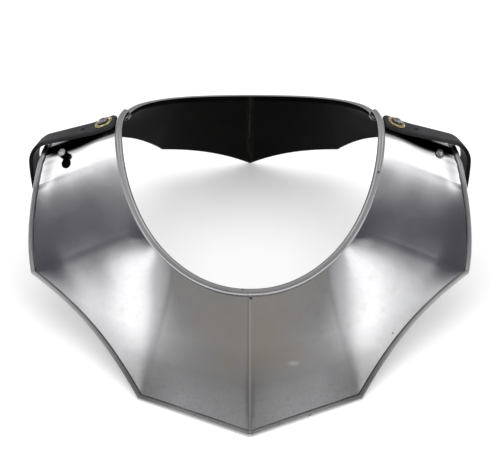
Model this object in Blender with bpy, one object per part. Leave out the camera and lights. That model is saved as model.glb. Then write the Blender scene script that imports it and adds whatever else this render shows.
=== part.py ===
"""A steel gorget: a breast and a back half round an oval neck opening, with a strap on each shoulder.

X runs across the shoulders, the front faces -Y and Z is up. The gorget stands on its lower points.
Angles go round the neck opening in degrees: 0 is the middle of the front, 180 the middle of the back.
"""

import math
from collections import namedtuple

import bmesh
import bpy
from mathutils import Matrix, Vector

# Neck opening, in metres
NECK_HALF_WIDTH = 0.0905
NECK_FRONT = 0.0905
NECK_BACK = 0.078
NECK_ROUNDNESS = 2.06
SHOULDER_HEIGHT = 0.127
CREST_AHEAD = 0.003
CREST_ROUNDING = 0.013
FRONT_RIM_DROP = 0.074
BACK_RIM_DROP = 0.034
BACK_RIM_CURVE = 1.6

# Outline
SIDE_REACH = 0.158
FRONT_REACH = 0.1803
BACK_REACH = 0.109

# Sheet steel
SHEET = 0.0012
CLEARANCE = 0.0003
NECK_ROLL = 0.0026
EDGE_ROLL = 0.0018

# Overlap of the two halves at the shoulders
LAP_GAP = 0.0009
SEAM_ANGLE = 106
TAB_ANGLE = 79
TAB_FROM_NECK = 0.027
BACK_START_ANGLE = 102

# Fasteners between the halves
STUD_ANGLE = 88
STUD_FROM_EDGE = 0.0217
PIVOT_ANGLE = 89.5
PIVOT_FROM_EDGE = 0.0169
STUD_RADIUS = 0.0031
STUD_HEIGHT = 0.0052
STUD_SHANK_RADIUS = 0.0018
KEYHOLE_RADIUS = 0.0037
KEYHOLE_TRAVEL = 0.0062
PIVOT_RADIUS = 0.0036
PIVOT_DOME = 0.0019
PIVOT_SHANK_RADIUS = 0.002
TAIL_RADIUS = 0.003
TAIL_HEIGHT = 0.0011
TAIL_GAP = 0.0008

# Straps
STRAP_TAIL = 0.0306
STRAP_WIDTH = 0.018
STRAP_THICKNESS = 0.003
STRAP_CORNER = 0.0028
STRAP_ANGLE = 98
STRAP_END_GAP = 0.0012
RIVET_FROM_STRAP_END = 0.009
SPARE_HOLE_PITCH = 0.0165
SPARE_HOLE_RADIUS = 0.0015
WASHER_RADIUS = 0.0068
WASHER_THICKNESS = 0.0012
STRAP_RIVET_RADIUS = 0.0034
STRAP_RIVET_DOME = 0.0022
STRAP_SHANK_RADIUS = 0.0018

ROUND_SIDES = 20
CUT_SIDES = 20
SLOPE_STEP = 0.05

# The outline's corners. side is a share of SIDE_REACH, ahead of FRONT_REACH, or of BACK_REACH where it is
# negative, and height of SHOULDER_HEIGHT. bow is how far the edge to the next corner swells from its chord,
# as a share of the sheet's width there.
Corner = namedtuple("Corner", "name angle side ahead height bow")
OUTLINE = (
    Corner("front tip", 0, 0.0, 1.0, 0.0, 0.0),
    Corner("front lower corner", 34, 0.494, 0.807, 0.0, -0.08),
    Corner("front side corner", 49, 1.0, 0.309, 0.27, 0.04),
    Corner("shoulder front", 80, 0.985, 0.083, 0.665, 0.0),
    Corner("shoulder rise", 84, 0.976, 0.052, 0.705, 0.0),
    Corner("shoulder bend", 88, 0.968, 0.02, 0.735, 0.0),
    Corner("shoulder crest", 92, 0.955, -0.029, 0.757, 0.0),
    Corner("shoulder top", 97, 0.946, -0.092, 0.757, 0.0),
    Corner("shoulder seam", SEAM_ANGLE, 0.94, -0.19, 0.722, 0.0),
    Corner("back side corner", 118, 0.885, -0.404, 0.62, -0.2),
    Corner("back lower corner", 140, 0.45, -0.855, 0.228, -0.08),
    Corner("back tip", 180, 0.0, -1.0, 0.004, 0.0),
)

# A strap's stretches from its riveted end, with the degrees that each bends up and twists back. share is of
# the sheet from that end out to the edge, or of STRAP_TAIL for the tail.
Stretch = namedtuple("Stretch", "name share bend twist")
STRAP_STRETCHES = (
    Stretch("seat", 0.22, 0, 0),
    Stretch("lift", 0.14, 7, 3),
    Stretch("span", 0.53, 0, 5),
    Stretch("shoulder bend", 0.36, -76, 5),
    Stretch("tail", 1.0, -12, 0),
)


def clear_scene():
    for thing in list(bpy.data.objects):
        bpy.data.objects.remove(thing, do_unlink=True)


def material(name, colour, roughness, metallic):
    made = bpy.data.materials.new(name)
    made.use_nodes = True
    shader = made.node_tree.nodes["Principled BSDF"]
    shader.inputs["Base Color"].default_value = (*colour, 1.0)
    shader.inputs["Roughness"].default_value = roughness
    shader.inputs["Metallic"].default_value = metallic
    return made


def closed_object(name, vertices, faces, finish, parent):
    """An object from points and faces that close into one body."""
    shape = bmesh.new()
    points = [shape.verts.new(point) for point in vertices]
    for face in faces:
        shape.faces.new([points[index] for index in face])
    bmesh.ops.recalc_face_normals(shape, faces=shape.faces)
    mesh = bpy.data.meshes.new(name)
    shape.to_mesh(mesh)
    shape.free()
    mesh.shade_smooth()
    mesh.set_sharp_from_angle(angle=math.radians(35))
    made = bpy.data.objects.new(name, mesh)
    made.parent = parent
    bpy.context.scene.collection.objects.link(made)
    if finish:
        mesh.materials.append(finish)
    return made


def skin(rings):
    """Faces over a row of rings of equal length, with a cap at each end."""
    size = len(rings[0])
    vertices = [point for ring in rings for point in ring]
    faces = []
    for ring in range(len(rings) - 1):
        for index in range(size):
            here = ring * size + index
            beside = ring * size + (index + 1) % size
            faces.append((here, beside, beside + size, here + size))
    faces.append(tuple(range(size)))
    faces.append(tuple(range(len(vertices) - size, len(vertices))))
    return vertices, faces


def neck_point(angle):
    """The neck opening's edge: an oval in plan, highest over the shoulders, lower in front and behind."""
    turn = math.radians(angle)
    sine, cosine = math.sin(turn), math.cos(turn)
    power = 2 / NECK_ROUNDNESS
    depth = NECK_FRONT if cosine > 0 else NECK_BACK
    x = math.copysign(NECK_HALF_WIDTH * abs(sine) ** power, sine)
    y = -math.copysign(depth * abs(cosine) ** power, cosine)
    past_crest = -CREST_AHEAD - y
    rounded = math.hypot(past_crest, CREST_ROUNDING)
    ahead = (rounded + past_crest) / 2 / (NECK_FRONT - CREST_AHEAD)
    behind = (rounded - past_crest) / 2 / (NECK_BACK + CREST_AHEAD)
    height = SHOULDER_HEIGHT - FRONT_RIM_DROP * ahead - BACK_RIM_DROP * behind**BACK_RIM_CURVE
    return Vector((x, y, height))


def corner_point(corner):
    reach = FRONT_REACH if corner.ahead > 0 else BACK_REACH
    return Vector((corner.side * SIDE_REACH, -corner.ahead * reach, corner.height * SHOULDER_HEIGHT))


def outline_point(angle):
    """The outer edge, where the straight line across the sheet from this place on the neck meets it."""
    other_side = angle < 0 or angle > 180
    turn = 360 - angle if angle > 180 else abs(angle)
    neck = neck_point(turn)
    for start, end in zip(OUTLINE, OUTLINE[1:]):
        if turn <= end.angle:
            break
    share = (turn - start.angle) / (end.angle - start.angle)
    chord = corner_point(start).lerp(corner_point(end), share)
    point = neck + (chord - neck) * (1 + start.bow * 4 * share * (1 - share))
    return Vector((-point.x, point.y, point.z)) if other_side else point


def edge_frame(point_of, angle, limits):
    """The directions across and out of the sheet at one of its edges.

    The one across is longer at a corner, so that the rolled edge keeps its width round it.
    """
    here = point_of(angle)
    before = point_of(max(angle - SLOPE_STEP, limits[0]))
    after = point_of(min(angle + SLOPE_STEP, limits[1]))
    steps = [step.normalized() for step in (here - before, after - here) if step.length > 0]
    along = sum(steps, Vector()) / len(steps)
    widening = 1 / along.length
    along.normalize()
    line = outline_point(angle) - neck_point(angle)
    normal = line.cross(along).normalized()
    return along.cross(normal) * widening, normal


def roll(edge, across, normal, radius, facing, steps):
    """A rolled edge's section: an arc that stands on the sheet's lower face and ends on its upper face.

    facing is 1 at the neck, where the sheet leaves the roll towards across, and -1 at the outer edge.
    """
    centre = edge + facing * across * radius + normal * (radius - SHEET / 2)
    leave = math.asin((SHEET - radius) / radius)
    points = []
    for step in range(steps + 1):
        turn = leave + (1.5 * math.pi - leave) * step / steps
        points.append(centre + radius * (facing * math.cos(turn) * across + math.sin(turn) * normal))
    return points


Station = namedtuple("Station", "angle from_neck neck_roll edge_roll")


def plate_ring(station, limits, drop):
    """A plate's closed section at a station, from the neck's roll along the lower face and back on top."""
    angle = station.angle
    neck_across, neck_normal = edge_frame(neck_point, angle, limits)
    edge_across, edge_normal = edge_frame(outline_point, angle, limits)
    neck = neck_point(angle) - drop * neck_normal
    edge = outline_point(angle) - drop * edge_normal
    if station.from_neck:
        neck += (edge - neck).normalized() * station.from_neck
    neck_arc = roll(neck, neck_across, neck_normal, station.neck_roll, 1, 7)
    edge_arc = roll(edge, edge_across, edge_normal, station.edge_roll, -1, 6)[::-1]
    lower, upper = [], []
    for share in (0.33, 0.67):
        lower.append(neck_arc[-1].lerp(edge_arc[0], share))
        upper.append(edge_arc[-1].lerp(neck_arc[0], share))
    return neck_arc + lower + edge_arc + upper


def plate(name, stations, drop, finish, parent):
    limits = (stations[0].angle, stations[-1].angle)
    rings = [plate_ring(station, limits, drop) for station in stations]
    vertices, faces = skin(rings)
    return closed_object(name, vertices, faces, finish, parent)


def spread(start, end, count):
    """Angles from start towards end, without the last."""
    return [start + (end - start) * index / count for index in range(count)]


def front_stations():
    tip, lower, side = (corner.angle for corner in OUTLINE[:3])
    half = spread(tip, lower, 6) + spread(lower, side, 9) + spread(side, TAB_ANGLE, 6)
    half += overlap_angles() + [BACK_START_ANGLE, SEAM_ANGLE]
    angles = [-angle for angle in half[:0:-1]] + half
    return [Station(angle, 0, NECK_ROLL, EDGE_ROLL) for angle in angles]


def overlap_angles():
    """Where the halves lie on each other they have their stations in common, so that their faces match."""
    return spread(TAB_ANGLE, BACK_START_ANGLE, 8)


def back_stations():
    """A plain tongue under the front half, a plain strip and then rolled edges, on both shoulders."""
    side, lower, tip = (corner.angle for corner in OUTLINE[-3:])
    plain = SHEET / 2
    half = [Station(angle, TAB_FROM_NECK, plain, plain) for angle in overlap_angles()]
    half.append(Station(BACK_START_ANGLE, TAB_FROM_NECK, plain, plain))
    half.append(Station(BACK_START_ANGLE + 0.4, 0, plain, plain))
    half.append(Station(SEAM_ANGLE + 0.6, 0, plain, plain))
    rolled = spread(SEAM_ANGLE + 1.2, side, 5) + spread(side, lower, 9) + spread(lower, tip, 9)
    half += [Station(angle, 0, NECK_ROLL, EDGE_ROLL) for angle in rolled]
    mirrored = [station._replace(angle=360 - station.angle) for station in reversed(half)]
    return half + [Station(tip, 0, NECK_ROLL, EDGE_ROLL)] + mirrored


def sheet_width(angle):
    return (outline_point(angle) - neck_point(angle)).length


def plate_spot(angle, from_neck):
    """A place in the middle of the front half's sheet: X away from the neck, Y along it, Z out of it."""

    def point(turn):
        return neck_point(turn).lerp(outline_point(turn), from_neck / sheet_width(turn))

    along = (point(angle + SLOPE_STEP) - point(angle - SLOPE_STEP)).normalized()
    line = (outline_point(angle) - neck_point(angle)).normalized()
    normal = line.cross(along).normalized()
    frame = Matrix((line, normal.cross(line), normal)).transposed()
    return Matrix.Translation(point(angle)) @ frame.to_4x4()


def turned(name, profile, place, finish, parent):
    """A solid turned about the place's Z from (radius, height) points, the first and last on the axis."""
    vertices = [(0, 0, profile[0][1])]
    for radius, height in profile[1:-1]:
        for side in range(ROUND_SIDES):
            turn = 2 * math.pi * side / ROUND_SIDES
            vertices.append((radius * math.cos(turn), radius * math.sin(turn), height))
    vertices.append((0, 0, profile[-1][1]))
    last = len(vertices) - 1
    rows = len(profile) - 2
    faces = []
    for side in range(ROUND_SIDES):
        beside = (side + 1) % ROUND_SIDES
        faces.append((0, 1 + side, 1 + beside))
        for row in range(rows - 1):
            start = 1 + row * ROUND_SIDES
            after = start + ROUND_SIDES
            faces.append((start + side, start + beside, after + beside, after + side))
        start = 1 + (rows - 1) * ROUND_SIDES
        faces.append((start + side, start + beside, last))
    made = closed_object(name, vertices, faces, finish, parent)
    made.matrix_local = place
    return made


def rivet_profile(seat, dome_radius, dome_height, shank_radius, tail_top):
    """A rivet whose domed head stands on seat and whose flat tail ends below tail_top."""
    profile = [(0, seat + dome_height)]
    for turn in (25, 50, 72):
        angle = math.radians(turn)
        profile.append((dome_radius * math.sin(angle), seat + dome_height * math.cos(angle)))
    profile += [(dome_radius, seat + dome_height * 0.12), (dome_radius, seat), (shank_radius, seat)]
    profile += [(shank_radius, tail_top), (TAIL_RADIUS, tail_top), (TAIL_RADIUS, tail_top - TAIL_HEIGHT)]
    return profile + [(0, tail_top - TAIL_HEIGHT)]


def prism_cutter(name, outline, place, depth, parent):
    """A cutter with this outline in the place's XY plane, running depth to each side of it."""
    size = len(outline)
    vertices = [(x, y, z) for z in (-depth, depth) for x, y in outline]
    faces = [tuple(range(size)), tuple(range(size, 2 * size))]
    for index in range(size):
        beside = (index + 1) % size
        faces.append((index, beside, beside + size, index + size))
    cutter = closed_object(name, vertices, faces, None, parent)
    cutter.matrix_local = place
    cutter.hide_render = True
    cutter.display_type = "WIRE"
    return cutter


def circle(radius):
    turns = [2 * math.pi * side / CUT_SIDES for side in range(CUT_SIDES)]
    return [(radius * math.cos(turn), radius * math.sin(turn)) for turn in turns]


def keyhole():
    """A slot round the stud's shank that opens towards Y into a round hole wider than the stud's head."""
    slot = STUD_SHANK_RADIUS + CLEARANCE
    meet = math.asin(slot / KEYHOLE_RADIUS)
    outline = []
    for step in range(7):
        turn = -math.pi * step / 6
        outline.append((slot * math.cos(turn), slot * math.sin(turn)))
    for step in range(17):
        turn = -math.pi / 2 - meet - (2 * math.pi - 2 * meet) * step / 16
        outline.append((KEYHOLE_RADIUS * math.cos(turn), KEYHOLE_TRAVEL + KEYHOLE_RADIUS * math.sin(turn)))
    return outline


def cut(thing, cutter):
    boolean = thing.modifiers.new(cutter.name, "BOOLEAN")
    boolean.operation = "DIFFERENCE"
    boolean.object = cutter


def strap_end_from_neck():
    return 2 * NECK_ROLL + STRAP_END_GAP


def strap_start(angle):
    """The place of the strap's riveted end, X along it and Z out of it, and its rivet's on the sheet."""
    rivet = plate_spot(angle, strap_end_from_neck() + RIVET_FROM_STRAP_END)
    lift = SHEET / 2 + CLEARANCE + STRAP_THICKNESS / 2
    place = rivet @ Matrix.Translation((-RIVET_FROM_STRAP_END, 0, lift))
    return place, rivet


def stretch_length(stretch, angle):
    if stretch.name == "tail":
        return stretch.share * STRAP_TAIL
    return stretch.share * (sheet_width(angle) - strap_end_from_neck())


def strap_path(angle):
    """Places along the strap, each with its distance from the riveted end."""
    place, _ = strap_start(angle)
    towards_back = math.copysign(1, angle)
    places = [(0.0, place)]
    travelled = 0.0
    for stretch in STRAP_STRETCHES:
        length = stretch_length(stretch, angle)
        steps = max(3, round(abs(stretch.bend) / 6))
        bend = Matrix.Rotation(math.radians(-stretch.bend / steps / 2), 4, "Y")
        forward = Matrix.Translation((length / steps, 0, 0))
        twist = Matrix.Rotation(math.radians(-towards_back * stretch.twist / steps), 4, "X")
        for _ in range(steps):
            place = place @ bend @ forward @ bend @ twist
            travelled += length / steps
            places.append((travelled, place))
    return places


def strap(name, angle, finish, parent):
    """A band along the strap's path, with cut corners at both ends."""
    places = strap_path(angle)
    length = places[-1][0]
    near_start = places[0][1] @ Matrix.Translation((STRAP_CORNER, 0, 0))
    near_end = places[-1][1] @ Matrix.Translation((-STRAP_CORNER, 0, 0))
    places.insert(1, (STRAP_CORNER, near_start))
    places.insert(-1, (length - STRAP_CORNER, near_end))
    half = STRAP_THICKNESS / 2
    rings = []
    for travelled, place in places:
        from_end = min(travelled, length - travelled)
        side = STRAP_WIDTH / 2 - max(0.0, STRAP_CORNER - from_end)
        section = ((-side, -half), (side, -half), (side, half), (-side, half))
        rings.append([place @ Vector((0, y, z)) for y, z in section])
    vertices, faces = skin(rings)
    return closed_object(name, vertices, faces, finish, parent)


def strap_set(side, sign, plates, finishes, parent):
    """A strap with its washer and rivet, and the holes that they need."""
    leather, brass, steel = finishes
    angle = sign * STRAP_ANGLE
    front = plates[0]
    start, rivet = strap_start(angle)
    band = strap("strap_" + side, angle, leather, parent)
    strap_top = SHEET / 2 + CLEARANCE + STRAP_THICKNESS
    washer_seat = strap_top + CLEARANCE
    head_seat = washer_seat + WASHER_THICKNESS + CLEARANCE
    tail_top = -SHEET / 2 - TAIL_GAP
    hole = circle(STRAP_SHANK_RADIUS + CLEARANCE)
    for thing, reach in ((front, 2 * SHEET), (band, 3 * STRAP_THICKNESS)):
        cut(thing, prism_cutter(f"rivet_hole_{side}_{thing.name}", hole, rivet, reach, parent))
    spare = start @ Matrix.Translation((RIVET_FROM_STRAP_END + SPARE_HOLE_PITCH, 0, 0))
    spare_hole = circle(SPARE_HOLE_RADIUS)
    cut(band, prism_cutter("spare_hole_" + side, spare_hole, spare, 2 * STRAP_THICKNESS, parent))
    ring = washer("washer_" + side, rivet @ Matrix.Translation((0, 0, washer_seat)), brass, parent)
    profile = rivet_profile(head_seat, STRAP_RIVET_RADIUS, STRAP_RIVET_DOME, STRAP_SHANK_RADIUS, tail_top)
    head = turned("strap_rivet_" + side, profile, rivet, steel, parent)
    return [band, ring, head]


def washer(name, place, finish, parent):
    """A flat ring with a worn outer rim."""
    inner = STRAP_SHANK_RADIUS + CLEARANCE
    worn = WASHER_THICKNESS / 4
    profile = (
        (inner, 0),
        (WASHER_RADIUS, 0),
        (WASHER_RADIUS, WASHER_THICKNESS - worn),
        (WASHER_RADIUS - worn, WASHER_THICKNESS),
        (inner, WASHER_THICKNESS),
    )
    size = len(profile)
    vertices, faces = [], []
    for side in range(ROUND_SIDES):
        turn = 2 * math.pi * side / ROUND_SIDES
        for radius, height in profile:
            vertices.append((radius * math.cos(turn), radius * math.sin(turn), height))
        following = (side + 1) % ROUND_SIDES
        for index in range(size):
            beside = (index + 1) % size
            here, there = side * size, following * size
            faces.append((here + index, here + beside, there + beside, there + index))
    made = closed_object(name, vertices, faces, finish, parent)
    made.matrix_local = place
    return made


def locking_stud(plates, steel, parent):
    """A headed stud on the back half's tongue, standing through the front half's keyhole.

    On this shoulder the place's Y is towards the front, and so is the keyhole's wide end.
    """
    front, back = plates
    place = plate_spot(-STUD_ANGLE, sheet_width(STUD_ANGLE) - STUD_FROM_EDGE)
    cut(front, prism_cutter("keyhole", keyhole(), place, 3 * SHEET, parent))
    hole = circle(STUD_SHANK_RADIUS + CLEARANCE)
    cut(back, prism_cutter("stud_hole", hole, place, 4 * SHEET, parent))
    seat = SHEET / 2 + CLEARANCE
    top = SHEET / 2 + STUD_HEIGHT
    tail_top = -1.5 * SHEET - LAP_GAP - TAIL_GAP
    worn = STUD_RADIUS / 8
    profile = [(0, top), (STUD_RADIUS - worn, top), (STUD_RADIUS, top - worn), (STUD_RADIUS, seat)]
    profile += [(STUD_SHANK_RADIUS, seat), (STUD_SHANK_RADIUS, tail_top), (TAIL_RADIUS, tail_top)]
    profile += [(TAIL_RADIUS, tail_top - TAIL_HEIGHT), (0, tail_top - TAIL_HEIGHT)]
    return turned("locking_stud", profile, place, steel, parent)


def pivot_rivet(plates, steel, parent):
    """A low domed rivet through both halves."""
    place = plate_spot(PIVOT_ANGLE, sheet_width(PIVOT_ANGLE) - PIVOT_FROM_EDGE)
    hole = circle(PIVOT_SHANK_RADIUS + CLEARANCE)
    for thing in plates:
        cut(thing, prism_cutter("pivot_hole_" + thing.name, hole, place, 4 * SHEET, parent))
    tail_top = -1.5 * SHEET - LAP_GAP - TAIL_GAP
    seat = SHEET / 2 + CLEARANCE
    profile = rivet_profile(seat, PIVOT_RADIUS, PIVOT_DOME, PIVOT_SHANK_RADIUS, tail_top)
    return turned("pivot_rivet", profile, place, steel, parent)


def stand_on_floor(pieces, holder):
    """Moves the gorget so that its box is centred on the origin and its lowest points are at height 0."""
    bpy.context.view_layer.update()
    graph = bpy.context.evaluated_depsgraph_get()
    corners = []
    for piece in pieces:
        seen = piece.evaluated_get(graph)
        corners += [seen.matrix_world @ vertex.co for vertex in seen.data.vertices]
    low = Vector([min(corner[axis] for corner in corners) for axis in range(3)])
    high = Vector([max(corner[axis] for corner in corners) for axis in range(3)])
    holder.location = (-(low.x + high.x) / 2, -(low.y + high.y) / 2, -low.z)


def build():
    clear_scene()
    holder = bpy.data.objects.new("gorget", None)
    bpy.context.scene.collection.objects.link(holder)
    steel = material("steel", (0.62, 0.62, 0.61), 0.28, 1.0)
    black_backed = material("black_backed_steel", (0.30, 0.30, 0.30), 0.35, 1.0)
    leather = material("black_leather", (0.03, 0.03, 0.03), 0.5, 0.0)
    brass = material("brass", (0.75, 0.60, 0.30), 0.3, 1.0)
    front = plate("front_plate", front_stations(), 0, steel, holder)
    back = plate("back_plate", back_stations(), SHEET + LAP_GAP, black_backed, holder)
    plates = (front, back)
    pieces = [front, back, locking_stud(plates, steel, holder), pivot_rivet(plates, steel, holder)]
    for side, sign in (("left", -1), ("right", 1)):
        pieces += strap_set(side, sign, plates, (leather, brass, steel), holder)
    stand_on_floor(pieces, holder)


build()
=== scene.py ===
"""Looks for the steel gorget: fine sheet steel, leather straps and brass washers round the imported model."""

import bisect
import math
from collections import namedtuple

import bmesh
import bpy
from mathutils import Matrix, Vector


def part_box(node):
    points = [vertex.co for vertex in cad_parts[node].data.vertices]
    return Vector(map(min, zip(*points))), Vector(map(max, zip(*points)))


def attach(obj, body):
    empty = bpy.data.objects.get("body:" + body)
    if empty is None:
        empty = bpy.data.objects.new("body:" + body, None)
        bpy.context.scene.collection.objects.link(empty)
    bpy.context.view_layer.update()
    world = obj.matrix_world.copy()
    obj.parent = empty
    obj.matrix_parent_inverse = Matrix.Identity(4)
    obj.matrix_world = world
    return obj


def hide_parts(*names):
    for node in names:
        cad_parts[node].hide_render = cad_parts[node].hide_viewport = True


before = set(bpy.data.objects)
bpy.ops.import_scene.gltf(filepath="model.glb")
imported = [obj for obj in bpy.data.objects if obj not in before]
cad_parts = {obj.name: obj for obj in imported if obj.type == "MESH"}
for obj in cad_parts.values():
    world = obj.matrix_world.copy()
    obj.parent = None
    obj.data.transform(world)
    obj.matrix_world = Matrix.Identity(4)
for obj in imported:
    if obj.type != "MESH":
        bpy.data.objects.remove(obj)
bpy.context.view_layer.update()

# Neck opening and outline, in metres, as in the model's source
NECK_HALF_WIDTH = 0.0905
NECK_FRONT = 0.0905
NECK_BACK = 0.078
NECK_ROUNDNESS = 2.06
SHOULDER_HEIGHT = 0.127
CREST_AHEAD = 0.003
CREST_ROUNDING = 0.013
FRONT_RIM_DROP = 0.074
BACK_RIM_DROP = 0.034
BACK_RIM_CURVE = 1.6
SIDE_REACH = 0.158
FRONT_REACH = 0.1803
BACK_REACH = 0.109
SHEET = 0.0012
CLEARANCE = 0.0003
NECK_ROLL = 0.0026
EDGE_ROLL = 0.0018
LAP_GAP = 0.0009
SEAM_ANGLE = 106
TAB_ANGLE = 79
TAB_FROM_NECK = 0.027
BACK_START_ANGLE = 102
STUD_ANGLE = 88
STUD_FROM_EDGE = 0.0217
PIVOT_ANGLE = 89.5
PIVOT_FROM_EDGE = 0.0169
STUD_RADIUS = 0.0031
STUD_HEIGHT = 0.0052
STUD_SHANK_RADIUS = 0.0018
KEYHOLE_RADIUS = 0.0037
KEYHOLE_TRAVEL = 0.0062
PIVOT_RADIUS = 0.0036
PIVOT_DOME = 0.0019
PIVOT_SHANK_RADIUS = 0.002
TAIL_RADIUS = 0.003
TAIL_HEIGHT = 0.0011
TAIL_GAP = 0.0008
STRAP_TAIL = 0.0306
STRAP_WIDTH = 0.018
STRAP_THICKNESS = 0.003
STRAP_CORNER = 0.0028
STRAP_ANGLE = 98
STRAP_END_GAP = 0.0012
RIVET_FROM_STRAP_END = 0.009
SPARE_HOLE_PITCH = 0.0165
SPARE_HOLE_RADIUS = 0.0015
WASHER_RADIUS = 0.0068
WASHER_THICKNESS = 0.0012
STRAP_RIVET_RADIUS = 0.0034
STRAP_RIVET_DOME = 0.0022
STRAP_SHANK_RADIUS = 0.0018
SLOPE_STEP = 0.05

Corner = namedtuple("Corner", "name angle side ahead height bow")
OUTLINE = (
    Corner("front tip", 0, 0.0, 1.0, 0.0, 0.0),
    Corner("front lower corner", 34, 0.494, 0.807, 0.0, -0.08),
    Corner("front side corner", 49, 1.0, 0.309, 0.27, 0.04),
    Corner("shoulder front", 80, 0.985, 0.083, 0.665, 0.0),
    Corner("shoulder rise", 84, 0.976, 0.052, 0.705, 0.0),
    Corner("shoulder bend", 88, 0.968, 0.02, 0.735, 0.0),
    Corner("shoulder crest", 92, 0.955, -0.029, 0.757, 0.0),
    Corner("shoulder top", 97, 0.946, -0.092, 0.757, 0.0),
    Corner("shoulder seam", SEAM_ANGLE, 0.94, -0.19, 0.722, 0.0),
    Corner("back side corner", 118, 0.885, -0.404, 0.62, -0.2),
    Corner("back lower corner", 140, 0.45, -0.855, 0.228, -0.08),
    Corner("back tip", 180, 0.0, -1.0, 0.004, 0.0),
)
Stretch = namedtuple("Stretch", "name share bend twist")
STRAP_STRETCHES = (
    Stretch("seat", 0.22, 0, 0),
    Stretch("lift", 0.14, 7, 3),
    Stretch("span", 0.53, 0, 5),
    Stretch("shoulder bend", 0.36, -76, 5),
    Stretch("tail", 1.0, -12, 0),
)

# How far the hammered sheet rounds off the creases that run in from the outline's corners, in metres
# along the outline
Rounding = namedtuple("Rounding", "angle spread")
ROUNDINGS = (
    Rounding(0, 0.002),
    Rounding(16, 0.009),
    Rounding(34, 0.014),
    Rounding(42, 0.02),
    Rounding(49, 0.024),
    Rounding(62, 0.02),
    Rounding(78, 0.009),
    Rounding(92, 0.004),
    Rounding(104, 0.0),
)

# The rounding is full between these shares of the sheet's width
ROUNDING_STARTS = 0.2
ROUNDING_ENDS = 0.8

# The rounding averages the outline over BLUR_STEPS to either side, with STEPS_IN_SPREAD for each spread
BLUR_STEPS = 8
STEPS_IN_SPREAD = 4

# The outline's length from the front tip, at every LENGTH_STEP of angle
LENGTH_STEP = 0.25
LENGTHS = [0.0]

# Fineness of the shown meshes
ROLL_STEPS = 16
EDGE_STEPS = 12
ACROSS = 24
GROOVE = 0.0005
SHARP = math.radians(40)
TURNED_SIDES = 48
SLOT_STEPS = 12
HOLE_STEPS = 32

# Stations of half a plate: the angles where a stretch starts and ends, and how many there are in it
Span = namedtuple("Span", "start end count")
FRONT_SPANS = (Span(0, 34, 34), Span(34, 49, 30), Span(49, 80, 31), Span(80, SEAM_ANGLE, 52))
TONGUE_SPAN = Span(TAB_ANGLE, BACK_START_ANGLE, 46)
UNROLLED_PAST_START = (0.4, 1.4, 2.4, 3.4)
UNROLLED_PAST_SEAM = 0.6
BACK_SPANS = (Span(SEAM_ANGLE + 1.2, 118, 12), Span(118, 140, 30), Span(140, 180, 40))

# A plate's finishes, and the face of the neck's roll from which its inside is black
OUTSIDE, INSIDE, IN_GROOVE, ON_ROLL = range(4)
BLACK_FROM = 11

# The straps' rounded edges and faces
STRAP_BEVEL = 0.0005
STRAP_END_BEVEL = 0.6 * STRAP_BEVEL
STRAP_CROWN = 0.00012
STRAP_ACROSS = 12


def neck_point(angle):
    turn = math.radians(angle)
    sine, cosine = math.sin(turn), math.cos(turn)
    power = 2 / NECK_ROUNDNESS
    depth = NECK_FRONT if cosine > 0 else NECK_BACK
    x = math.copysign(NECK_HALF_WIDTH * abs(sine) ** power, sine)
    y = -math.copysign(depth * abs(cosine) ** power, cosine)
    past_crest = -CREST_AHEAD - y
    rounded = math.hypot(past_crest, CREST_ROUNDING)
    ahead = (rounded + past_crest) / 2 / (NECK_FRONT - CREST_AHEAD)
    behind = (rounded - past_crest) / 2 / (NECK_BACK + CREST_AHEAD)
    height = SHOULDER_HEIGHT - FRONT_RIM_DROP * ahead - BACK_RIM_DROP * behind**BACK_RIM_CURVE
    return Vector((x, y, height))


def corner_point(corner):
    reach = FRONT_REACH if corner.ahead > 0 else BACK_REACH
    return Vector((corner.side * SIDE_REACH, -corner.ahead * reach, corner.height * SHOULDER_HEIGHT))


def outline_point(angle):
    other_side = angle < 0 or angle > 180
    turn = 360 - angle if angle > 180 else abs(angle)
    neck = neck_point(turn)
    for start, end in zip(OUTLINE, OUTLINE[1:]):
        if turn <= end.angle:
            break
    share = (turn - start.angle) / (end.angle - start.angle)
    chord = corner_point(start).lerp(corner_point(end), share)
    point = neck + (chord - neck) * (1 + start.bow * 4 * share * (1 - share))
    return Vector((-point.x, point.y, point.z)) if other_side else point


def edge_frame(point_of, angle, limits):
    """Across an edge, longer where the edge turns, and square to the sheet."""
    here = point_of(angle)
    before = point_of(max(angle - SLOPE_STEP, limits[0]))
    after = point_of(min(angle + SLOPE_STEP, limits[1]))
    steps = [step.normalized() for step in (here - before, after - here) if step.length > 0]
    along = sum(steps, Vector()) / len(steps)
    widening = 1 / along.length
    along.normalize()
    line = outline_point(angle) - neck_point(angle)
    normal = line.cross(along).normalized()
    return along.cross(normal) * widening, normal


def rounding_at(angle):
    turn = abs(angle)
    for start, end in zip(ROUNDINGS, ROUNDINGS[1:]):
        if turn < end.angle:
            share = (turn - start.angle) / (end.angle - start.angle)
            return start.spread + (end.spread - start.spread) * share
    return 0.0


def measure_outline():
    """Fills LENGTHS."""
    for index in range(round(SEAM_ANGLE / LENGTH_STEP)):
        start, end = outline_point(index * LENGTH_STEP), outline_point((index + 1) * LENGTH_STEP)
        LENGTHS.append(LENGTHS[-1] + (end - start).length)


def length_at(angle):
    place = abs(angle) / LENGTH_STEP
    index = min(int(place), len(LENGTHS) - 2)
    length = LENGTHS[index] + (LENGTHS[index + 1] - LENGTHS[index]) * (place - index)
    return math.copysign(length, angle)


def angle_at(length):
    """The angle of the outline's point at this length from the front tip."""
    index = min(bisect.bisect_right(LENGTHS, abs(length)), len(LENGTHS) - 1) - 1
    share = (abs(length) - LENGTHS[index]) / (LENGTHS[index + 1] - LENGTHS[index])
    return math.copysign((index + share) * LENGTH_STEP, length)


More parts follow.
